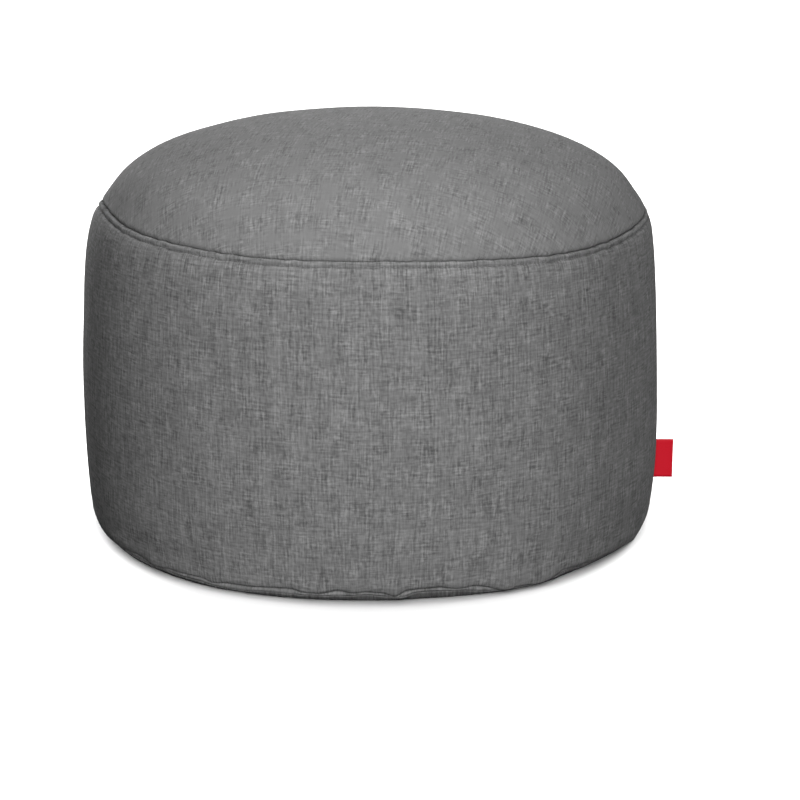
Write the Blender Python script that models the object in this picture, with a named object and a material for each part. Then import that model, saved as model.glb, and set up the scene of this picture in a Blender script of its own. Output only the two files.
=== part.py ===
"""Round bean bag footstool: crowned top panel, filled side wall, base panel and a small tab.

Metres, +Z up, standing on z = 0, front towards -Y, the tab on the +X side.
"""
import math

import bmesh
import bpy
import numpy as np

# the filled form from the crown to the foot, as radius and height
FORM = (
    (0.0000, 0.3494), (0.0290, 0.3491), (0.0581, 0.3482), (0.0864, 0.3464), (0.1125, 0.3429),
    (0.1403, 0.3370), (0.1655, 0.3297), (0.1865, 0.3210), (0.2024, 0.3117), (0.2131, 0.3031),
    (0.2204, 0.2947), (0.2255, 0.2874), (0.2306, 0.2800), (0.2352, 0.2723), (0.2386, 0.2640),
    (0.2413, 0.2531), (0.2432, 0.2397), (0.2449, 0.2221), (0.2465, 0.2003), (0.2481, 0.1700),
    (0.2493, 0.1350), (0.2500, 0.1000), (0.2499, 0.0791), (0.2497, 0.0600), (0.2491, 0.0450),
    (0.2482, 0.0330), (0.2471, 0.0240), (0.2460, 0.0185), (0.2452, 0.0150),
)
LEANS = ((0.070, 0.0009), (0.300, 0.0010))  # heights where the filling leans towards +X

# upper seam: its mean height and the waves sewn into it (count round, mm, phase)
RING_Z = 0.2756
RING_WAVES = (
    (1, 3.74, 2.83), (2, 0.88, 1.12), (3, 0.63, -0.97), (4, 0.93, 1.09), (5, 1.31, -1.10),
    (6, 0.57, 2.21), (7, 0.69, -1.42), (8, 0.94, 1.66), (9, 0.61, -2.51),
)

# cloth and sewing
CLOTH = 0.0020  # top panel, double at its hem
BASE_CLOTH = 0.0025
GAP = 0.0003
TUCK = 0.0050  # depth of the top panel's edge inside the seam
CREASE = 0.0012
BAND = 0.0046  # width of the topstitched band below the upper seam
BAND_PROUD = 0.0004
STITCH_DIP = 0.0010
SWELL = 0.0004  # the filled cloth beyond the topstitching
UPRIGHT_DIP = 0.0009  # the side's closing seam at angle 0
PUCKER = 0.0011  # gathers of the foot

# woven tab
TAB_OUT = 0.2675
TAB_LOW = 0.0293
TAB_HIGH = 0.0641
TAB_THICK = 0.0016

# mesh steps
ROUND_STEPS = 96
RIM_STEPS = (0.0050, 0.0100, 0.0180, 0.0300, 0.0480)
CROWN_SHARES = (0.70, 0.58, 0.45, 0.30, 0.15)


def clear_objects():
    for obj in list(bpy.data.objects):
        bpy.data.objects.remove(obj, do_unlink=True)


def smooth_form(steps=24):
    """Radius, height and distance from the crown along a smooth curve through FORM."""
    nodes = np.array(FORM)
    before = np.vstack([[-nodes[1, 0], nodes[1, 1]], nodes[:-1]])
    after = np.vstack([nodes[1:], 2 * nodes[-1] - nodes[-2]])
    points = []
    for i in range(len(nodes) - 1):
        p0, p1, p2, p3 = before[i], nodes[i], nodes[i + 1], after[i + 1]
        for t in np.linspace(0.0, 1.0, steps, endpoint=False):
            bend = 2 * p0 - 5 * p1 + 4 * p2 - p3
            twist = 3 * (p1 - p2) + p3 - p0
            points.append(0.5 * (2 * p1 + (p2 - p0) * t + bend * t * t + twist * t ** 3))
    points.append(nodes[-1])
    curve = np.array(points)
    reach = np.hypot(np.diff(curve[:, 0]), np.diff(curve[:, 1]))
    return curve[:, 0], curve[:, 1], np.concatenate([[0.0], np.cumsum(reach)])


FORM_R, FORM_Z, FORM_U = smooth_form()


def bump(x, middle, width):
    return math.exp(-(((x - middle) / width) ** 2))


def seam_distance(a):
    """Distance from the crown to the upper seam at angle a; the seam runs truer at the back."""
    true = 1 - 0.7 * max(0.0, math.sin(a)) ** 2
    wave = 0.0
    for count, mm, phase in RING_WAVES:
        wave += mm * math.cos(count * a - phase) * (1.0 if count == 1 else true)
    return float(np.interp(-(RING_Z + 0.001 * wave), -FORM_Z, FORM_U))


def form_point(a, u, off):
    """A point of the form at distance u from the crown, raised by off along its normal."""
    lo, hi = u - 0.0006, u + 0.0006
    dr = float(np.interp(hi, FORM_U, FORM_R) - np.interp(lo, FORM_U, FORM_R))
    dz = float(np.interp(hi, FORM_U, FORM_Z) - np.interp(lo, FORM_U, FORM_Z))
    size = math.hypot(dr, dz)
    r = float(np.interp(u, FORM_U, FORM_R))
    z = float(np.interp(u, FORM_U, FORM_Z))
    lean = sum(shift * bump(z, height, 0.060) for height, shift in LEANS)
    r += lean * math.cos(a) * min(5 * r, 1.0)
    return r - off * dz / size, z + off * dr / size


def crease(distance):
    return -CREASE * bump(distance, 0.0, 0.0018)


def pucker(a):
    """Uneven gathers of the foot, -1 to 1."""
    return (
        0.45 * math.cos(23 * a + 0.6)
        + 0.35 * math.cos(17 * a + 2.1)
        + 0.20 * math.cos(11 * a - 0.9)
    )


def upright_seam(a):
    return -UPRIGHT_DIP * bump(min(a, 2 * math.pi - a) * 0.25, 0.0, 0.0022)


def top_panel_outline(a):
    """Crown out to the seam, the edge tucked inwards, and the underside back."""
    seam = seam_distance(a)
    outside = [form_point(a, k * seam, 0.0) for k in reversed(CROWN_SHARES)]
    for d in reversed((0.0008, 0.0022) + RIM_STEPS):
        outside.append(form_point(a, seam - d, crease(d)))
    tuck = [
        form_point(a, seam - 0.5 * GAP, -CREASE - 0.0002),
        form_point(a, seam - 0.5 * GAP, -TUCK),
        form_point(a, seam - 0.5 * GAP - CLOTH, -TUCK),
        form_point(a, seam - 0.5 * GAP - CLOTH, -CLOTH - 0.0014),
        form_point(a, seam - 0.0028, -CLOTH - 0.0004),
    ]
    inside = [form_point(a, seam - d, -CLOTH) for d in RIM_STEPS]
    inside += [form_point(a, k * seam, -CLOTH) for k in CROWN_SHARES]
    return outside + tuck + inside


def side_wall_outline(a):
    """Crown under the top panel, slot for that panel's edge, sewn side, foot."""
    seam = seam_distance(a)
    low = CLOTH + GAP
    points = [form_point(a, k * seam, -low) for k in (0.15, 0.45, 0.70)]
    points += [form_point(a, seam - d, -low) for d in reversed(RIM_STEPS)]
    points += [
        form_point(a, seam - 0.0030, -low - 0.00035),
        form_point(a, seam - 0.5 * GAP - low, -low - 0.0012),
        form_point(a, seam - 0.5 * GAP - low, -TUCK - GAP),
        form_point(a, seam + 0.5 * GAP, -TUCK - GAP),
        form_point(a, seam + 0.5 * GAP, -CREASE - 0.0002),
    ]
    drop = [float(x) for x in np.interp((-0.045, -0.033, -0.024, -0.0185), -FORM_Z, FORM_U)]
    stops = [0.0008, 0.0018, 0.0032, 0.0042, 0.0049, 0.0056, 0.0064, 0.0080, 0.0120, 0.0210]
    stops += [float(x) for x in np.linspace(0.038, drop[0] - seam - 0.020, 8)]
    stops += [x - seam for x in drop]
    for d in stops:
        off = crease(d)
        off += BAND_PROUD * bump(d, 0.5 * BAND, 0.30 * BAND)
        off -= STITCH_DIP * bump(d, BAND + 0.0009, 0.0012)
        off += SWELL * bump(d, 0.014, 0.007)
        off += 0.4 * PUCKER * pucker(a) * bump(seam + d, drop[3], 0.012)
        off += upright_seam(a)
        points.append(form_point(a, seam + d, off))
    return points + foot_outline(a)


def foot_outline(a):
    """The full cloth tucks in to the topstitching, the band comes down to the lower seam."""
    p = PUCKER * pucker(a)
    dip = upright_seam(a)
    band = [
        (0.2451 + 0.6 * p + dip, 0.0146 + 1.1 * p),
        (0.2440 + 0.5 * p + dip, 0.0126 + 1.2 * p),
        (0.2426 + 0.2 * p, 0.0113 + 1.2 * p),
        (0.2417, 0.0103 + 1.0 * p),
        (0.2422 - 0.3 * p, 0.0088 + 0.6 * p),
        (0.2417 - 0.3 * p, 0.0069 + 0.4 * p),
        (0.2403, 0.0056 + 0.2 * p),
        (0.2388, 0.0052),
    ]
    rim = [(0.2369, 0.0060), (0.2353, 0.0046), (0.2331, 0.0035), (0.2285, 0.0028)]
    return band + rim


def base_panel_outline(a):
    """Flat sheet whose rim turns up into the lower seam."""
    under = [(0.2320, 0.0), (0.2361, 0.0004), (0.2382, 0.0014), (0.2391, 0.0030)]
    over = [(0.2389, 0.0046), (0.2369, 0.0056), (0.2355, 0.0043), (0.2333, 0.0032)]
    return under + over + [(0.2285, BASE_CLOTH)]


def turned(name, outline, first_z, last_z):
    """Spin an outline from axis to axis about Z, then set each column to its own outline."""
    beside_seam = [math.radians(d) for d in (0.7, 1.6, 358.4, 359.3)]
    angles = sorted([2 * math.pi * i / ROUND_STEPS for i in range(ROUND_STEPS)] + beside_seam)
    outlines = [outline(a) for a in angles]
    bm = bmesh.new()
    row = bm.verts.layers.int.new("row")
    strip = []
    for i, (r, z) in enumerate([(0.0, first_z)] + outlines[0] + [(0.0, last_z)]):
        strip.append(bm.verts.new((r, 0.0, z)))
        strip[-1][row] = i
    edges = [bm.edges.new(pair) for pair in zip(strip, strip[1:])]
    bmesh.ops.spin(
        bm, geom=strip + edges, cent=(0, 0, 0), axis=(0, 0, 1),
        angle=2 * math.pi, steps=len(angles), use_merge=True,
    )
    bmesh.ops.remove_doubles(bm, verts=bm.verts, dist=1e-6)
    step = 2 * math.pi / len(angles)
    for vert in bm.verts:
        if vert[row] in (0, len(strip) - 1):
            continue
        column = round(math.atan2(vert.co.y, vert.co.x) / step) % len(angles)
        r, z = outlines[column][vert[row] - 1]
        vert.co = (r * math.cos(angles[column]), r * math.sin(angles[column]), z)
    return finish(name, bm)


def tab():
    """The woven tab, folded double, its fold outwards and its ends in the upright seam."""
    half = 0.5 * TAB_THICK
    u = float(np.interp(-0.5 * (TAB_LOW + TAB_HIGH), -FORM_Z, FORM_U))
    root = form_point(0.0, u, 0.0)[0] + GAP
    middle = 0.5 * (root + TAB_OUT)
    section = (
        (root, -half), (middle, -half), (TAB_OUT - half, -half),
        (TAB_OUT - 0.25 * half, -0.6 * half), (TAB_OUT, 0.0), (TAB_OUT - 0.25 * half, 0.6 * half),
        (TAB_OUT - half, half), (middle, half), (root, half),
    )
    bm = bmesh.new()
    face = bm.faces.new([bm.verts.new((x, y, TAB_LOW)) for x, y in section])
    rise = (TAB_HIGH - TAB_LOW) / 4
    for level in range(4):
        grown = bmesh.ops.extrude_face_region(bm, geom=[face])["geom"]
        if level > 0:
            bmesh.ops.delete(bm, geom=[face], context="FACES_ONLY")
        top = [item for item in grown if isinstance(item, bmesh.types.BMVert)]
        face = [item for item in grown if isinstance(item, bmesh.types.BMFace)][0]
        bmesh.ops.translate(bm, verts=top, vec=(0, 0, rise))
    for vert in bm.verts:
        share = (vert.co.z - TAB_LOW) / (TAB_HIGH - TAB_LOW)
        u = float(np.interp(-vert.co.z, -FORM_Z, FORM_U))
        if vert.co.x < root + 0.001:
            vert.co.x = form_point(0.0, u, 0.0)[0] + GAP
        elif abs(vert.co.x - middle) < 0.001:
            vert.co.y -= 0.0006 * math.sin(math.pi * share)
    obj = finish("label_tab", bm)
    for polygon in obj.data.polygons:
        polygon.use_smooth = False
    return obj


def finish(name, bm):
    bmesh.ops.recalc_face_normals(bm, faces=bm.faces)
    for face in bm.faces:
        face.smooth = True
    mesh = bpy.data.meshes.new(name)
    bm.to_mesh(mesh)
    bm.free()
    obj = bpy.data.objects.new(name, mesh)
    bpy.context.scene.collection.objects.link(obj)
    return obj


def give_material(obj, colour, roughness):
    material = bpy.data.materials.new(obj.name)
    material.use_nodes = True
    shader = material.node_tree.nodes["Principled BSDF"]
    shader.inputs["Base Color"].default_value = (*colour, 1.0)
    shader.inputs["Roughness"].default_value = roughness
    shader.inputs["Metallic"].default_value = 0.0
    obj.data.materials.append(material)


clear_objects()

crown = FORM[0][1]
top_panel = turned("top_panel", top_panel_outline, crown, crown - CLOTH)
side_wall = turned("filled_side_wall", side_wall_outline, crown - CLOTH - GAP, 0.0028)
base_panel = turned("base_panel", base_panel_outline, 0.0, BASE_CLOTH)
label_tab = tab()

give_material(top_panel, (0.215, 0.215, 0.215), 0.92)
give_material(side_wall, (0.195, 0.195, 0.195), 0.92)
give_material(base_panel, (0.180, 0.180, 0.180), 0.92)
give_material(label_tab, (0.560, 0.016, 0.028), 0.80)
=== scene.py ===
"""Round bean bag footstool in grey melange cloth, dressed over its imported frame.

Metres, +Z up, standing on z = 0, front towards -Y, the red tab on the +X side.
"""
import math

import bmesh
import bpy
import numpy as np
from mathutils import Matrix, Vector, noise


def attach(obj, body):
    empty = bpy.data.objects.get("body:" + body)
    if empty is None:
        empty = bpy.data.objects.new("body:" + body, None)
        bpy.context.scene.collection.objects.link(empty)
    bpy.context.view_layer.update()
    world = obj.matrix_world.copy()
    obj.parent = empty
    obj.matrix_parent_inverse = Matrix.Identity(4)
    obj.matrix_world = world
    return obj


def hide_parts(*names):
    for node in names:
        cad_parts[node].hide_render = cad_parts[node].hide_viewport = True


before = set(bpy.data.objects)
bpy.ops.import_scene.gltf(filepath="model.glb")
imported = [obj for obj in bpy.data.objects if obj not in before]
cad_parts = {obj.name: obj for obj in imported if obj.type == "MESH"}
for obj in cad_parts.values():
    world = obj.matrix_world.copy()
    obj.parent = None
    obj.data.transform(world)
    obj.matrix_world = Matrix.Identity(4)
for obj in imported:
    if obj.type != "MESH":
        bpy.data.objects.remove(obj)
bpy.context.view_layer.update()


# ---- camera ---------------------------------------------------------------------------------
# A long lens a little above the footstool, looking down on it by about 16 degrees.

camera = bpy.data.objects.new("camera", bpy.data.cameras.new("camera"))
camera.location = (0.0257, -1.850, 0.620)
camera.rotation_euler = (math.radians(74.3), 0.0, 0.0)
camera.data.sensor_width = 36.0
camera.data.lens = 98.26
bpy.context.scene.collection.objects.link(camera)
bpy.context.scene.camera = camera


# ---- base panel -----------------------------------------------------------------------------
# A flat disc of the same grey cloth under the footstool, its greys drawn darker than the side
# wall's as painted shade on the rim below the lower seam. Its rim turns up a few millimetres all
# round to meet the side wall's edge, and the two are sewn face to face along the lower seam.

BASE_CLOTH = 0.0025  # the panel's thickness
FLAT_FOOT = 0.2305  # least radius of the foot on the floor
SEAM_LIFT = 0.0056  # the lower seam's height that the rim's rows are given for
FOLLOW = 0.65  # how far the seam follows the foot's spread
COLUMNS = 534  # even steps round the footstool, 2.9 mm apart at the wall
BROAD_STEPS = 60  # the first spin; each step is then cut into nine columns

# height of the lower seam in mm against degrees round from +X; it lifts where the cloth is pulled
LOWER_SEAM = (
    (0, 4.6), (14, 5.6), (27, 4.2), (41, 5.9), (54, 5.1), (70, 6.4), (83, 4.7), (97, 5.8),
    (110, 4.4), (124, 6.2), (139, 5.0), (152, 6.0), (166, 4.6), (180, 5.0), (192, 4.2), (205, 4.6),
    (218.4, 5.6), (221.9, 5.3), (225.7, 6.1), (227.4, 5.4), (229.4, 4.8), (232.2, 5.0), (236, 5.1),
    (238.3, 3.9), (241.6, 3.4), (246, 3.7), (248.1, 5.1), (250.2, 5.7), (257.9, 5.6), (265.9, 6.1),
    (270, 7.3), (273.5, 5.8), (275.5, 4.5), (277.1, 5.0), (279.1, 8.0), (281.1, 8.4), (285.1, 7.9),
    (289.1, 6.9), (290.8, 5.2), (294, 3.9), (297, 3.2), (303, 3.2), (306, 3.8), (310.2, 5.2),
    (311.9, 6.3), (313.8, 6.0), (315.3, 5.5), (317.6, 4.3), (322, 3.6), (331, 3.2), (338, 2.8),
    (345, 3.6), (360, 4.6),
)

# radius in mm of the base's foot on the floor, round from +X; it spreads under the full lobes
FOOT_RADIUS = (
    (0, 233.0), (18, 235.5), (40, 233.5), (62, 236.5), (85, 234.0), (108, 236.5), (130, 234.0),
    (152, 236.0), (175, 232.0), (195, 232.0), (206, 234.2), (216.6, 236.9), (229.7, 236.9),
    (235.2, 237.4), (239.8, 236.2), (244.1, 234.6), (248.6, 235.2), (252.7, 233.8), (256.7, 233.2),
    (260.7, 232.3), (265.6, 231.4), (276.4, 231.2), (280.4, 230.9), (284.3, 232.0), (290.4, 233.9),
    (293.5, 234.3), (298.8, 236.3), (303.2, 237.9), (305.6, 238.3), (308.3, 237.5), (311.4, 236.0),
    (314.7, 234.8), (321.6, 233.5), (325.5, 233.7), (330.2, 235.0), (336, 237.2), (343, 234.4),
    (352, 233.0), (360, 233.0),
)

# angles of the columns, with closer ones beside the side wall's closing seam at +X
beside_seam = [0.12, 0.25, 0.40]
beside_seam += [360 - d for d in beside_seam]
even_turns = [360.0 * i / COLUMNS for i in range(COLUMNS)]
TURN = np.radians(sorted(even_turns + beside_seam))
EVEN = np.zeros(len(TURN))  # added to a number, it makes a row that is the same all round


def read_round(table, blur=0.5):
    """Values in metres, at each column, of a table of millimetres against degrees."""
    degrees, values = np.array(table).T
    here = np.degrees(TURN)
    taps = [np.interp((here + k * blur) % 360, degrees, values) for k in (-1, -0.5, 0, 0.5, 1)]
    return 0.001 * np.mean(taps, axis=0)


def spun(rows, first_z, last_z):
    """Spin a strip from axis to axis about Z, and set every row to its own radii and heights.

    The spin goes in broad steps, which are then cut into the columns.
    """
    bm = bmesh.new()
    row = bm.verts.layers.int.new("row")
    strip = []
    outline = [(0.0, first_z)] + [(r[0], z[0]) for r, z in rows] + [(0.0, last_z)]
    for i, (r, z) in enumerate(outline):
        strip.append(bm.verts.new((r, 0.0, z)))
        strip[-1][row] = i
    edges = [bm.edges.new(pair) for pair in zip(strip, strip[1:])]
    bmesh.ops.spin(
        bm, geom=strip + edges, cent=(0, 0, 0), axis=(0, 0, 1),
        angle=2 * math.pi, steps=BROAD_STEPS, use_merge=True,
    )
    bmesh.ops.remove_doubles(bm, verts=bm.verts, dist=1e-6)
    rings = [e for e in bm.edges if e.verts[0][row] == e.verts[1][row]]
    bmesh.ops.subdivide_edges(
        bm, edges=rings, cuts=len(TURN) // BROAD_STEPS - 1, use_grid_fill=True
    )
    column = bm.verts.layers.int.new("column")
    radii = np.array([r for r, _ in rows])
    heights = np.array([z for _, z in rows])
    step = 2 * math.pi / len(TURN)
    cos, sin = np.cos(TURN), np.sin(TURN)
    for vert in bm.verts:
        if vert[row] in (0, len(strip) - 1):
            continue
        c = round(math.atan2(vert.co.y, vert.co.x) / step) % len(TURN)
        vert[column] = c
        r, z = radii[vert[row] - 1, c], heights[vert[row] - 1, c]
        vert.co = (r * cos[c], r * sin[c], z)
    bmesh.ops.recalc_face_normals(bm, faces=bm.faces)
    return bm, row, column


def to_object(name, bm, material):
    """Make the piece's object, which rides with the footstool's one body."""
    for face in bm.faces:
        face.smooth = True
    mesh = bpy.data.meshes.new(name)
    bm.to_mesh(mesh)
    bm.free()
    obj = bpy.data.objects.new(name, mesh)
    obj.data.materials.append(material)
    bpy.context.scene.collection.objects.link(obj)
    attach(obj, "root")
    return obj


def linear(hex_colour):
    """An sRGB hex colour as linear RGBA."""
    srgb = [int(hex_colour[i:i + 2], 16) / 255 for i in (1, 3, 5)]
    return (*[c / 12.92 if c <= 0.04045 else ((c + 0.055) / 1.055) ** 2.4 for c in srgb], 1.0)


def add(material, kind, settings=None, inputs=None):
    """Add one node, give it its settings, and set or link its inputs."""
    tree = material.node_tree
    node = tree.nodes.new(kind)
    for key, value in (settings or {}).items():
        setattr(node, key, value)
    for key, value in (inputs or {}).items():
        if isinstance(value, bpy.types.NodeSocket):
            tree.links.new(value, node.inputs[key])
        else:
            node.inputs[key].default_value = value
    return node


def melange_cloth(name, dark, light, uneven, patchy, turn=0.0):
    """Plain weave of slubby two-tone polyester yarns, piece dyed grey: matt, dry, slightly furry.

    The yarns are 0.62 mm apart. Their thick and thin places are 2 mm wide and 6 to 26 mm long in
    the warp, and 6 to 20 mm in the weft, with broad shades 10 mm wide among them. The cloth's own
    map is in metres. Uneven says how far the yarns' shades part, patchy how the slubs crowd in
    some places, and turn which way the warp runs.
    """
    material = bpy.data.materials.new(name)
    material.use_nodes = True
    shader = material.node_tree.nodes["Principled BSDF"]
    cloth_map = add(material, "ShaderNodeUVMap", {"uv_map": "cloth"})
    laid = add(
        material, "ShaderNodeMapping", None, {0: cloth_map.outputs[0], "Rotation": (0, 0, turn)}
    ).outputs[0]

    # uneven yarns: streaks of width by length in metres, and how strongly each shows
    streaks = {
        "warp": ((0.0018, 0.026, 1.0), (0.0015, 0.006, 0.9), (0.0120, 0.060, 0.4)),
        "weft": ((0.020, 0.0020, 0.9), (0.006, 0.0016, 0.9), (0.050, 0.0100, 0.3)),
    }
    tone = {}
    for yarn, sizes in streaks.items():
        tone[yarn] = -0.5 * sum(weight for _, _, weight in sizes)
        for width, length, weight in sizes:
            scaled = add(
                material, "ShaderNodeVectorMath", {"operation": "MULTIPLY"},
                {0: laid, 1: (1 / width, 1 / length, 1.0)},
            )
            streak = add(
                material, "ShaderNodeTexNoise", {"noise_dimensions": "2D"},
                {"Vector": scaled.outputs[0], "Scale": 1.0, "Detail": 1.0, "Roughness": 0.55},
            )
            tone[yarn] = add(
                material, "ShaderNodeMath", {"operation": "MULTIPLY_ADD"},
                {0: streak.outputs["Fac"], 1: weight, 2: tone[yarn]},
            ).outputs[0]

    # the weave: which yarn lies on top in each cell, and how round it stands
    pitch = 0.00062
    cells = add(
        material, "ShaderNodeVectorMath", {"operation": "MULTIPLY"},
        {0: laid, 1: (1 / pitch, 1 / pitch, 0.0)},
    ).outputs[0]
    warp_up = add(
        material, "ShaderNodeTexChecker", None, {"Vector": cells, "Scale": 1.0}
    ).outputs["Fac"]
    turned = add(
        material, "ShaderNodeVectorMath", {"operation": "MULTIPLY"},
        {0: cells, 1: (math.pi, math.pi, 0.0)},
    ).outputs[0]
    waves = add(
        material, "ShaderNodeVectorMath", {"operation": "SINE"}, {0: turned}
    ).outputs[0]
    arches = add(
        material, "ShaderNodeVectorMath", {"operation": "ABSOLUTE"}, {0: waves}
    ).outputs[0]
    split = add(material, "ShaderNodeSeparateXYZ", None, {0: arches})
    arch = add(
        material, "ShaderNodeMix", None, {0: warp_up, 2: split.outputs[1], 3: split.outputs[0]}
    ).outputs[0]
    lean = add(
        material, "ShaderNodeMath", {"operation": "MULTIPLY_ADD"}, {0: warp_up, 1: 0.5, 2: 0.3}
    ).outputs[0]
    mixed = add(
        material, "ShaderNodeMix", None, {0: lean, 2: tone["weft"], 3: tone["warp"]}
    ).outputs[0]

    # the slubs come in patches some 15 mm across, with evener cloth between them
    patch = add(
        material, "ShaderNodeTexNoise", {"noise_dimensions": "2D"},
        {"Vector": laid, "Scale": 65.0, "Detail": 1.0},
    ).outputs["Fac"]
    crowded = add(
        material, "ShaderNodeMath", {"operation": "MULTIPLY_ADD", "use_clamp": True},
        {0: patch, 1: 0.5 * patchy, 2: 0.5 - 0.25 * patchy},
    ).outputs[0]
    mixed = add(
        material, "ShaderNodeMath", {"operation": "MULTIPLY"}, {0: mixed, 1: crowded}
    ).outputs[0]

    # the hollows between the yarns are painted darker than their tops, as painted shade, and the
    # yarns stand 0.05 mm high; a thick place stands up further
    hollow_shade = add(
        material, "ShaderNodeMath", {"operation": "MULTIPLY_ADD"},
        {0: arch, 1: 0.06, 2: 0.5 - 0.06 * 0.64},
    ).outputs[0]
    share = add(
        material, "ShaderNodeMath", {"operation": "MULTIPLY_ADD"},
        {0: mixed, 1: 2.0 * uneven, 2: hollow_shade},
    ).outputs[0]
    # as many light yarns as dark ones to the eye, which judges greys by steps and not by light
    share = add(
        material, "ShaderNodeMath", {"operation": "POWER", "use_clamp": True}, {0: share, 1: 1.15}
    ).outputs[0]
    colour = add(
        material, "ShaderNodeMix", {"data_type": "RGBA"},
        {0: share, 6: linear(dark), 7: linear(light)},
    )
    round_yarns = add(
        material, "ShaderNodeMath", {"operation": "MULTIPLY"}, {0: arch, 1: 0.00005}
    ).outputs[0]
    height = add(
        material, "ShaderNodeMath", {"operation": "MULTIPLY_ADD"},
        {0: mixed, 1: 0.00032, 2: round_yarns},
    ).outputs[0]
    bump = add(
        material, "ShaderNodeBump", None, {"Strength": 1.0, "Distance": 1.0, "Height": height}
    )
    material.node_tree.links.new(colour.outputs[2], shader.inputs["Base Color"])
    material.node_tree.links.new(bump.outputs[0], shader.inputs["Normal"])
    shader.inputs["Roughness"].default_value = 0.92
    shader.inputs["IOR"].default_value = 1.5
    shader.inputs["Specular IOR Level"].default_value = 0.12
    return material


def lay_cloth(bm, place):
    """Write the cloth's own map, in metres, from a function of the vertex and its face's centre."""
    layer = bm.loops.layers.uv.new("cloth")
    for face in bm.faces:
        middle = face.calc_center_median()
        for loop in face.loops:
            loop[layer].uv = place(loop.vert, middle)


seam_low = read_round(LOWER_SEAM)
spread = read_round(FOOT_RADIUS) - FLAT_FOOT
lifted = seam_low / SEAM_LIFT
base_rows = [(0.2080 + EVEN, EVEN), (0.2220 + EVEN, EVEN)]
for r, share, z in (  # up the rim and over its edge: radius, share of the spread and height
    (0.2282, 1.00, 0.0000), (0.2297, 0.97, 0.0002), (0.2311, 0.94, 0.0007), (0.2325, 0.90, 0.0015),
    (0.2338, 0.86, 0.0024), (0.2350, 0.80, 0.0034), (0.2361, 0.74, 0.0044), (0.2369, 0.68, 0.0052),
    (0.2369, FOLLOW, 0.0055), (0.2362, FOLLOW, 0.0056), (0.2345, FOLLOW, 0.0056),
):
    base_rows.append((r + share * spread, z * lifted))
base_rows += [  # back down inside it
    (0.2328 + FOLLOW * spread, np.maximum(0.0047 * lifted, 0.0027)),
    (0.2302 + FOLLOW * spread, BASE_CLOTH + 0.0002 * lifted),
    (0.2262 + 0.50 * spread, BASE_CLOTH + EVEN),
]
bm, _, _ = spun(base_rows, 0.0, BASE_CLOTH)
lay_cloth(bm, lambda vert, middle: (vert.co.x, vert.co.y + 0.5 * vert.co.z))
# the base cloth's greys are darker than the side wall's: painted shade for its rim under the lower
# seam
base_cloth = melange_cloth("grey_melange_base_cloth_painted_shade", "#4E4E4E", "#848484", 1.38, 1.4)
base_panel = to_object("base_cloth_panel", bm, base_cloth)
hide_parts("base_panel")


# ---- filled side wall -----------------------------------------------------------------------
# One long strip of the grey cloth, warp upright, closed by an upright seam on the +X side. The
# bead filling pushes it out to an even barrel; it tucks in to the sewing at its head and foot.

# the filled form from the crown to the foot, as radius and height
FORM = (
    (0.0000, 0.3494), (0.0290, 0.3491), (0.0581, 0.3482), (0.0864, 0.3464), (0.1125, 0.3429),
    (0.1403, 0.3370), (0.1655, 0.3297), (0.1865, 0.3210), (0.2024, 0.3117), (0.2131, 0.3031),
    (0.2204, 0.2947), (0.2255, 0.2874), (0.2306, 0.2800), (0.2352, 0.2723), (0.2386, 0.2640),
    (0.2413, 0.2531), (0.2432, 0.2397), (0.2449, 0.2221), (0.2465, 0.2003), (0.2481, 0.1700),
    (0.2493, 0.1350), (0.2500, 0.1000), (0.2499, 0.0791), (0.2497, 0.0600), (0.2491, 0.0450),
    (0.2482, 0.0330), (0.2471, 0.0240), (0.2460, 0.0185), (0.2452, 0.0150),
)
LEANS = ((0.070, 0.0009), (0.300, 0.0010))  # heights where the filling leans to +X, and how far

# upper seam: its mean height and the waves sewn into it, as count round, mm and phase
RING_Z = 0.2756
RING_WAVES = (
    (1, 3.74, 2.83), (2, 0.88, 1.12), (3, 0.63, -0.97), (4, 0.93, 1.09), (5, 1.31, -1.10),
    (6, 0.57, 2.21), (7, 0.69, -1.42), (8, 0.94, 1.66), (9, 0.61, -2.51),
)
CLOTH = 0.0020  # thickness of the top panel
GAP = 0.0003  # air between two pieces that touch
UNDER = CLOTH + GAP  # depth of the filling's crown below the top panel's face
FLOOR_SIDE = BASE_CLOTH + GAP  # height of the filling's flat underside
TUCK = 0.0050  # depth of the top panel's edge inside the seam
CREASE = 0.0014  # depth of the seam's valley
BAND = 0.0046  # width of the topstitched band below the upper seam
SEAM_ZONE = 0.0310  # width of the wall below the seam that the sewing still shapes
WALL_RADIUS = 0.25  # at its fullest

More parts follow.
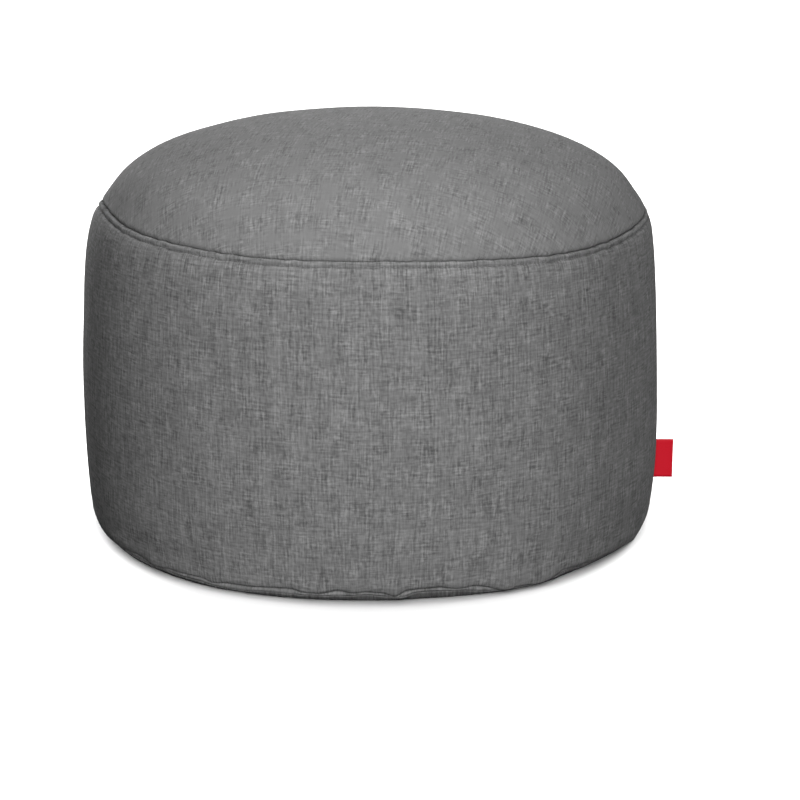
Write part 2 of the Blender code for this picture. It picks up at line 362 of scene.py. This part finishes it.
# height of the full cloth's lower edge in mm against degrees round from +X: the filling hangs
# over the sewing in soft lobes, and lifts off it between them
FULL_EDGE = (
    (0, 7.0), (9, 9.0), (18, 9.6), (24, 6.8), (33, 9.8), (45, 10.6), (51, 7.4), (60, 9.4),
    (72, 11.4), (77, 8.2), (88, 9.6), (99, 10.8), (104, 7.6), (116, 9.2), (126, 11.0), (131, 8.0),
    (143, 9.6), (154, 10.4), (159, 7.4), (170, 8.6), (181, 7.6), (192, 5.8), (198, 5.2),
    (205, 6.3), (210.6, 7.6), (213.8, 9.3), (218.9, 11.0), (221.7, 10.2), (224.2, 7.2),
    (226.1, 8.2), (229, 9.5), (231.2, 9.1), (233, 9.6), (237.2, 9.9), (239.2, 7.3), (240.8, 8.2),
    (242.1, 9.3), (247.7, 10.0), (253.9, 11.5), (255.9, 11.8), (257.9, 9.0), (261.5, 8.9),
    (264.5, 12.7), (267.5, 9.8), (269.4, 11.4), (273.1, 10.4), (275.3, 6.4), (277.1, 11.8),
    (280.1, 12.7), (283.7, 13.1), (286.6, 10.4), (289.1, 10.6), (290.2, 12.1), (292.9, 9.2),
    (294.5, 6.4), (296.9, 3.7), (298, 3.9), (299.7, 5.6), (301.2, 5.3), (303.5, 3.9), (305.9, 4.4),
    (307.1, 5.3), (308.5, 7.4), (309.8, 9.8), (313.3, 9.1), (314.8, 7.8), (316.4, 8.7),
    (318.3, 7.3), (320.4, 6.6), (324.8, 5.7), (331.5, 4.8), (336.7, 3.5), (344, 4.6), (352, 6.0),
    (360, 7.0),
)


def smooth_form(steps=24):
    """Radius, height and distance from the crown along a smooth curve through FORM."""
    nodes = np.array(FORM)
    before = np.vstack([[-nodes[1, 0], nodes[1, 1]], nodes[:-1]])
    after = np.vstack([nodes[1:], 2 * nodes[-1] - nodes[-2]])
    points = []
    for i in range(len(nodes) - 1):
        p0, p1, p2, p3 = before[i], nodes[i], nodes[i + 1], after[i + 1]
        for t in np.linspace(0.0, 1.0, steps, endpoint=False):
            bend = 2 * p0 - 5 * p1 + 4 * p2 - p3
            twist = 3 * (p1 - p2) + p3 - p0
            points.append(0.5 * (2 * p1 + (p2 - p0) * t + bend * t * t + twist * t ** 3))
    points.append(nodes[-1])
    curve = np.array(points)
    reach = np.hypot(np.diff(curve[:, 0]), np.diff(curve[:, 1]))
    return curve[:, 0], curve[:, 1], np.concatenate([[0.0], np.cumsum(reach)])


FORM_R, FORM_Z, FORM_U = smooth_form()


def bump_at(x, middle, width):
    """A smooth rise from 0 to 1 and back, about middle."""
    return np.exp(-(((x - middle) / width) ** 2))


def seam_distance(a):
    """Distance from the crown to the upper seam at angle a; the seam runs truer at the back."""
    true = 1 - 0.7 * np.maximum(0.0, np.sin(a)) ** 2
    wave = sum(
        mm * np.cos(n * a - phase) * (1.0 if n == 1 else true) for n, mm, phase in RING_WAVES
    )
    return np.interp(-(RING_Z + 0.001 * wave), -FORM_Z, FORM_U)


def broad_waves(a, r, z):
    """The beads' slow unevenness under the cloth, in waves 50 and 110 mm across."""
    x, y = r * np.cos(a), r * np.sin(a)
    return np.array([
        0.0010 * noise.noise(Vector((9 * px, 9 * py, 9 * pz + 3.1)))
        + 0.0005 * noise.noise(Vector((19 * px + 7.7, 19 * py, 19 * pz)))
        for px, py, pz in zip(x, y, z)
    ])


def form_point(a, u, off):
    """Points of the form at distance u from the crown, raised by off along its normal."""
    lo, hi = u - 0.0006, u + 0.0006
    dr = np.interp(hi, FORM_U, FORM_R) - np.interp(lo, FORM_U, FORM_R)
    dz = np.interp(hi, FORM_U, FORM_Z) - np.interp(lo, FORM_U, FORM_Z)
    size = np.hypot(dr, dz)
    r = np.interp(u, FORM_U, FORM_R)
    z = np.interp(u, FORM_U, FORM_Z)
    lean = sum(shift * bump_at(z, height, 0.060) for height, shift in LEANS)
    r = r + lean * np.cos(a) * np.minimum(5 * r, 1.0)
    off = off + broad_waves(a, r, z) * np.minimum(12 * r, 1.0)
    return r - off * dz / size, z + off * dr / size


gathers = (  # puckers where the sewing draws the cloth in, 14 to 40 mm long; it runs -1.5 to 1.5
    0.5 * np.cos(61 * TURN + 0.4) + 0.4 * np.cos(83 * TURN + 1.9) + 0.3 * np.cos(109 * TURN - 0.7)
    + 0.3 * np.cos(37 * TURN + 2.6)
)
seam_u = seam_distance(TURN) + 0.00035 * gathers
full_edge = np.maximum(read_round(FULL_EDGE), seam_low + 0.0006)
lobe = 0.0098 - full_edge  # over 0 where the cloth hangs low and full
# the upright closing seam, a crease 1 mm deep and some 3 mm wide
closing = -0.0010 * bump_at(np.minimum(TURN, 2 * math.pi - TURN) * WALL_RADIUS, 0.0, 0.0016)

wall_rows, wall_u = [], []


def wall_row(u, off):
    """Add the wall's next row, at distance u from the crown and raised by off."""
    wall_rows.append(form_point(TURN, u, off))
    wall_u.append(u)


# the filling's crown under the top panel, and the slot that the panel's edge goes down in
for share in (0.3, 0.6, 0.8, 0.9):
    wall_row(share * seam_u, -UNDER)
for d in (0.0100, 0.0050, 0.0030):
    wall_row(seam_u - d, -UNDER - 0.0003)
wall_row(seam_u - 0.5 * GAP - UNDER, -UNDER - 0.0012)
wall_row(seam_u - 0.5 * GAP - UNDER, -TUCK - GAP)
wall_row(seam_u + 0.5 * GAP, -TUCK - GAP)
wall_row(seam_u + 0.5 * GAP, -0.0030)
wall_row(seam_u + 0.0003, -CREASE - 0.0005)

# below the seam: valley, band, stitched groove, the swell under it and the puckers
stops = [
    0.0007, 0.0012, 0.0018, 0.0024, 0.0030, 0.0036, 0.0041, 0.0046, 0.0050, 0.0054, 0.0058, 0.0062,
    0.0067, 0.0073, 0.0081, 0.0092, 0.0106, 0.0124, 0.0147, 0.0175, 0.0210, 0.0255, SEAM_ZONE,
]
upper_stitch_row = len(wall_rows) + stops.index(0.0054)  # the groove's middle
for d in stops:
    off = -CREASE * bump_at(d, 0.0, 0.0013)
    off += 0.0005 * bump_at(d, 0.5 * BAND, 0.32 * BAND)
    off -= (0.0014 + 0.0003 * gathers) * bump_at(d, BAND + 0.0009, 0.0010)
    off += 0.0005 * bump_at(d, 0.0130, 0.0065)
    off += 0.00022 * gathers * bump_at(d, 0.0050, 0.0060)
    wall_row(seam_u + d, off + closing)

# the barrel, down to 20 mm above the floor
foot_u = np.interp(-0.0200, -FORM_Z, FORM_U)
for share in np.linspace(0.0, 1.0, 26)[1:]:
    u = (seam_u + SEAM_ZONE) * (1 - share) + foot_u * share
    z = np.interp(u, FORM_U, FORM_Z)
    wall_row(u, 0.10 * lobe * bump_at(z, 0.012, 0.016) + closing)

# foot: the full cloth turns in under itself to the sewing, and the band below comes down to the
# seam; where the cloth hangs low the band is drawn in behind it, and where it lifts the band shows
wall_r, wall_z = wall_rows[-1]
seam_r = 0.2369 + FOLLOW * spread
edge_r = seam_r + 0.0026 + 0.5 * closing
slack = np.clip((np.abs(np.cos(TURN)) - 0.74) / 0.12, 0.0, 1.0)  # 1 at the sides: a softer turn
for t in (0.10, 0.20, 0.31, 0.42, 0.53, 0.64, 0.74, 0.83, 0.90, 0.95, 0.985, 1.0):
    z = full_edge + (wall_z - full_edge) * (1 - t)
    turn_in = (1 - t ** (2.6 - 0.8 * slack)) ** (0.45 + 0.30 * slack)
    wall_rows.append((edge_r + (wall_r - edge_r) * turn_in, z))
    wall_u.append(wall_u[-1] + 0.0010)
lower_stitch_row = len(wall_rows)  # the band's first row, just below the full cloth's edge
band_wide = full_edge - seam_low
shown = np.clip(band_wide / 0.0055, 0.0, 1.0) ** 2
for t, out in (  # share of the way down the band, and mm that it stands out from the seam
    (0.10, -2.4), (0.24, -2.4), (0.38, -1.5), (0.54, -0.4), (0.74, 0.0), (0.88, -0.7), (1.0, -1.5)
):
    plain = (edge_r - seam_r) * (1 - t)
    wall_rows.append((seam_r + plain + (0.001 * out - plain) * shown, full_edge - t * band_wide))
    wall_u.append(wall_u[-1] + 0.0008)
for r, z in (  # in over the base panel's turned-up rim, and down its inside
    (seam_r - 0.0007, seam_low + 0.0004), (seam_r - 0.0024, seam_low + 0.0008),
    (seam_r - 0.0042, np.maximum(0.0050 * lifted, 0.0030)),
    (seam_r - 0.0068, FLOOR_SIDE + 0.0004 * lifted), (0.2262 + 0.50 * spread, FLOOR_SIDE + EVEN),
):
    wall_rows.append((r, z))
    wall_u.append(wall_u[-1] + 0.0020)

bm, row, column = spun(wall_rows, FORM[0][1] - UNDER, FLOOR_SIDE)
WALL_U = np.array(wall_u)


def wall_place(vert, middle):
    """Upright warp: round the wall from the closing seam, and down it from the upper seam."""
    if vert[row] in (0, len(wall_rows) + 1):
        return (0.0, -WALL_U[0, 0] if vert[row] == 0 else -WALL_U[-1, 0])
    c = vert[column]
    turn = TURN[c]
    if c == 0 and middle.y < 0:
        turn = 2 * math.pi
    return (turn * WALL_RADIUS, -WALL_U[vert[row] - 1, c])


lay_cloth(bm, wall_place)
side_cloth = melange_cloth("grey_melange_side_cloth", "#5D5D5D", "#9C9C9C", 1.38, 1.4)
filled_wall = to_object("filled_wall", bm, side_cloth)
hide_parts("filled_side_wall")


# ---- top panel ------------------------------------------------------------------------------
# A disc of the same cloth, stretched over the filling to a low crown. Its edge turns down into
# the upper seam, where it is sewn to the side wall with the raw edges inside.

top_rows, top_u = [], []
for share in np.linspace(0.0, 0.90, 46)[1:]:
    top_rows.append(form_point(TURN, share * seam_u, 0.0))
    top_u.append(share * seam_u)
for d in (  # distance from the seam, where the cloth dips to the sewing
    0.0210, 0.0175, 0.0147, 0.0124, 0.0104, 0.0087, 0.0073,
    0.0061, 0.0050, 0.0040, 0.0031, 0.0023, 0.0016, 0.0010,
):
    off = -CREASE * bump_at(d, 0.0, 0.0015) + 0.0003 * bump_at(d, 0.0090, 0.0050)
    off += 0.00022 * gathers * bump_at(d, 0.0045, 0.0050)
    top_rows.append(form_point(TURN, seam_u - d, off))
    top_u.append(seam_u - d)
turned_in = (  # down into the seam, round the raw edge and back up to the cloth's underside
    (0.0003, -CREASE - 0.0005), (0.5 * GAP, -0.0030), (0.5 * GAP, -TUCK),
    (0.5 * GAP + CLOTH, -TUCK), (0.5 * GAP + CLOTH, -CLOTH - 0.0012), (0.0030, -CLOTH - 0.0003),
    (0.0050, -CLOTH), (0.0100, -CLOTH),
)
for i, (d, off) in enumerate(turned_in):
    top_rows.append(form_point(TURN, seam_u - d, off + EVEN))
    top_u.append(seam_u + 0.0010 * i)
for share in (0.9, 0.8, 0.6, 0.3):
    top_rows.append(form_point(TURN, share * seam_u, -CLOTH + EVEN))
    top_u.append(share * seam_u)
bm, row, column = spun(top_rows, FORM[0][1], FORM[0][1] - CLOTH)
TOP_U = np.array(top_u)


def top_place(vert, middle):
    """The disc laid flat again, so that its straight yarns follow the crown."""
    if vert[row] in (0, len(top_rows) + 1):
        return (0.0, 0.0)
    c = vert[column]
    u = TOP_U[vert[row] - 1, c]
    return (u * math.cos(TURN[c]), u * math.sin(TURN[c]))


lay_cloth(bm, top_place)
top_cloth = melange_cloth(
    "grey_melange_top_cloth", "#606060", "#9C9C9C", 0.90, 3.2, turn=math.radians(7)
)
top_panel = to_object("top_cloth_panel", bm, top_cloth)
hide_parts("top_panel")


# ---- topstitching ---------------------------------------------------------------------------
# Lockstitch in grey polyester thread, 4 mm a stitch, through the side cloth and the seam's folded
# edges: one row under the upper seam and one above the lower seam.

THREAD = 0.00045
STITCH = 0.0040

# spun polyester sewing thread, dyed grey: dull, its plies crossing it slantwise every 0.4 mm
thread = bpy.data.materials.new("grey_polyester_thread")
thread.use_nodes = True
shader = thread.node_tree.nodes["Principled BSDF"]
shader.inputs["Roughness"].default_value = 0.75
here = add(thread, "ShaderNodeTexCoord")
twist = add(
    thread, "ShaderNodeTexWave", {"wave_type": "BANDS", "bands_direction": "DIAGONAL"},
    {"Vector": here.outputs["Object"], "Scale": 900.0, "Distortion": 2.0, "Detail": 1.0},
)
ply = add(
    thread, "ShaderNodeMix", {"data_type": "RGBA"},
    {0: twist.outputs["Fac"], 6: linear("#4C4C4C"), 7: linear("#6A6A6A")},
)
thread.node_tree.links.new(ply.outputs[2], shader.inputs["Base Color"])


def sew(name, row_index, lift):
    """Plump stitches end to end along a row of the wall, their middles lifted off its face."""
    r, z = wall_rows[row_index]
    mean_r, mean_z = float(np.mean(r)), float(np.mean(z))
    count = round(2 * math.pi * mean_r / STITCH)
    bm = bmesh.new()
    plump = Matrix.Diagonal((0.5 * THREAD, 0.40 * STITCH, 0.55 * THREAD, 1.0))
    along = Matrix.Rotation(math.pi / 2, 4, "X")
    lie = Matrix.Translation((mean_r + lift, 0.0, mean_z)) @ plump @ along
    bmesh.ops.create_uvsphere(bm, u_segments=6, v_segments=5, radius=1.0, matrix=lie)
    bmesh.ops.spin(
        bm, geom=bm.verts[:] + bm.edges[:] + bm.faces[:], cent=(0, 0, 0), axis=(0, 0, 1),
        angle=2 * math.pi * (count - 1) / count, steps=count - 1, use_duplicate=True,
    )
    turns = np.append(TURN, 2 * math.pi)
    where = np.array([math.atan2(v.co.y, v.co.x) % (2 * math.pi) for v in bm.verts])
    dr = np.interp(where, turns, np.append(r, r[0])) - mean_r
    dz = np.interp(where, turns, np.append(z, z[0])) - mean_z
    for vert, out, up, a in zip(bm.verts, dr, dz, where):
        vert.co += Vector((out * math.cos(a), out * math.sin(a), up))
    bmesh.ops.recalc_face_normals(bm, faces=bm.faces)
    return to_object(name, bm, thread)


sew("upper_topstitching", upper_stitch_row, 0.0001)
sew("lower_topstitching", lower_stitch_row, 0.0)


# ---- label tab ------------------------------------------------------------------------------
# A bare red woven ribbon folded double, its two ends caught in the side wall's closing seam and
# its fold standing out to the side.

TAB_OUT = 0.2675
TAB_LOW = 0.0293
TAB_HIGH = 0.0641
RIBBON = 0.0007  # thickness of the ribbon
FOLD = 0.0008  # half the thickness of the folded tab
SEWN_IN = 0.0022  # how far its ends lie under the wall's face
STEPS_UP = 16

# the tab's section, drawn on its lower edge and lifted in steps to the upper one
inner = FOLD - RIBBON
root_r = float(np.interp(0.5 * (TAB_LOW + TAB_HIGH), FORM_Z[::-1], FORM_R[::-1])) - SEWN_IN
section = [(root_r, -FOLD), (0.2540, -FOLD), (0.2600, -FOLD)]
section += [
    (TAB_OUT - FOLD + FOLD * math.sin(t), -FOLD * math.cos(t))
    for t in np.linspace(0.0, math.pi, 9)
]
section += [(0.2600, FOLD), (0.2540, FOLD), (root_r, FOLD)]
section += [(root_r, inner), (0.2540, inner), (0.2600, inner)]
section += [
    (TAB_OUT - FOLD + inner * math.sin(t), inner * math.cos(t))
    for t in np.linspace(0.0, math.pi, 5)
]
section += [(0.2600, -inner), (0.2540, -inner), (root_r, -inner)]
bm = bmesh.new()
face = bm.faces.new([bm.verts.new((x, y, TAB_LOW)) for x, y in section])
for level in range(STEPS_UP):
    grown = bmesh.ops.extrude_face_region(bm, geom=[face])["geom"]
    if level > 0:
        bmesh.ops.delete(bm, geom=[face], context="FACES_ONLY")
    upper_edge = [item for item in grown if isinstance(item, bmesh.types.BMVert)]
    face = [item for item in grown if isinstance(item, bmesh.types.BMFace)][0]
    bmesh.ops.translate(bm, verts=upper_edge, vec=(0, 0, (TAB_HIGH - TAB_LOW) / STEPS_UP))
for vert in bm.verts:  # a slight wave towards the fold
    share = (vert.co.z - TAB_LOW) / (TAB_HIGH - TAB_LOW)
    out = (vert.co.x - root_r) / (TAB_OUT - root_r)
    vert.co.y += 0.0006 * out * math.sin(2.6 * share + 0.4) - 0.0004 * out
bmesh.ops.recalc_face_normals(bm, faces=bm.faces)
lay_cloth(bm, lambda vert, middle: (vert.co.x, vert.co.z))

# close-woven polyester ribbon, dyed red: a clear colour, a soft sheen and fine ribs across it. The
# ribs are drawn 0.9 mm apart, about three times as coarse as real ones, so that they show
red_ribbon = bpy.data.materials.new("red_woven_polyester_ribbon")
red_ribbon.use_nodes = True
shader = red_ribbon.node_tree.nodes["Principled BSDF"]
shader.inputs["Roughness"].default_value = 0.62
shader.inputs["Specular IOR Level"].default_value = 0.20
ribbon_map = add(red_ribbon, "ShaderNodeUVMap", {"uv_map": "cloth"})
ribs = add(
    red_ribbon, "ShaderNodeTexWave",
    {"wave_type": "BANDS", "bands_direction": "Y", "wave_profile": "SIN"},
    {"Vector": ribbon_map.outputs[0], "Scale": 350.0, "Distortion": 0.6, "Detail": 1.0},
)
dyed = add(
    red_ribbon, "ShaderNodeMix", {"data_type": "RGBA"},
    {0: ribs.outputs["Fac"], 6: linear("#D20A20"), 7: linear("#E81832")},
)
rib_bump = add(
    red_ribbon, "ShaderNodeBump", None,
    {"Strength": 0.6, "Distance": 0.0001, "Height": ribs.outputs["Fac"]},
)
red_ribbon.node_tree.links.new(dyed.outputs[2], shader.inputs["Base Color"])
red_ribbon.node_tree.links.new(rib_bump.outputs[0], shader.inputs["Normal"])
label = to_object("red_ribbon_tab", bm, red_ribbon)
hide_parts("label_tab")


# ---- floor and light ------------------------------------------------------------------------
# A plain white paper floor under a white studio, with soft boxes in front, above and behind.

bm = bmesh.new()
bmesh.ops.create_grid(bm, x_segments=2, y_segments=2, size=60.0)
mesh = bpy.data.meshes.new("floor")
bm.to_mesh(mesh)
bm.free()
floor = bpy.data.objects.new("floor", mesh)

# uncoated white paper: quite matt, with no shine
paper = bpy.data.materials.new("matt_white_paper")
paper.use_nodes = True
shader = paper.node_tree.nodes["Principled BSDF"]
shader.inputs["Base Color"].default_value = linear("#F0F0F0")
shader.inputs["Roughness"].default_value = 1.0
shader.inputs["Specular IOR Level"].default_value = 0.0
floor.data.materials.append(paper)
bpy.context.scene.collection.objects.link(floor)

# soft boxes, all turned to the footstool's middle: place, side in metres and power in watts
MIDDLE = Vector((0.0, 0.0, 0.17))
SOFT_BOXES = (
    ("top_soft_box", (-0.04, -0.12, 0.98), 0.50, 3.3),
    ("front_soft_box", (0.12, -2.26, 0.90), 0.50, 46.0),
    ("back_left_soft_box", (-0.95, 1.60, 0.20), 0.40, 17.0),
    ("back_right_soft_box", (1.80, 1.95, 0.20), 0.40, 24.0),
    ("back_soft_box", (0.00, 2.30, 0.60), 0.60, 17.0),
)
for name, place, side, power in SOFT_BOXES:
    light = bpy.data.objects.new(name, bpy.data.lights.new(name, "AREA"))
    light.data.size = side
    light.data.energy = power
    light.location = place
    light.rotation_euler = (MIDDLE - Vector(place)).to_track_quat("-Z", "Y").to_euler()
    light.visible_camera = False
    bpy.context.scene.collection.objects.link(light)

# the paper has its own light, so that it is pure white everywhere but in the footstool's close
# contact shade, and it throws none back on the footstool: strength, then angle across, tilt and
# turn in degrees
PAPER_LIGHTS = (
    ("paper_top_light", 1.6, 20, 0, 0),
    ("paper_front_light", 3.7, 90, 50, 0),
    ("paper_back_left_light", 6.7, 30, 72, -150),
    ("paper_back_right_light", 6.7, 30, 72, 150),
)
floor.visible_diffuse = False
floor.visible_glossy = False
paper_only = bpy.data.collections.new("paper_only")
paper_only.objects.link(floor)
for name, strength, angle, tilt, turn in PAPER_LIGHTS:
    light = bpy.data.objects.new(name, bpy.data.lights.new(name, "SUN"))
    light.data.energy = strength
    light.data.angle = math.radians(angle)
    light.rotation_euler = (math.radians(tilt), 0.0, math.radians(turn))
    light.light_linking.receiver_collection = paper_only
    bpy.context.scene.collection.objects.link(light)
all_but_paper = bpy.data.collections.new("all_but_paper")
all_but_paper.objects.link(floor)
all_but_paper.collection_objects[0].light_linking.link_state = "EXCLUDE"
for name, *_ in SOFT_BOXES:
    bpy.data.objects[name].light_linking.receiver_collection = all_but_paper

# the studio's white walls are only seen; the soft boxes do the lighting
world = bpy.data.worlds.new("studio")
world.use_nodes = True
world.node_tree.nodes["Background"].inputs[0].default_value = (1.0, 1.0, 1.0, 1.0)
bpy.context.scene.world = world
world.cycles_visibility.diffuse = False
world.cycles_visibility.glossy = False
bpy.context.scene.view_settings.view_transform = "Standard"
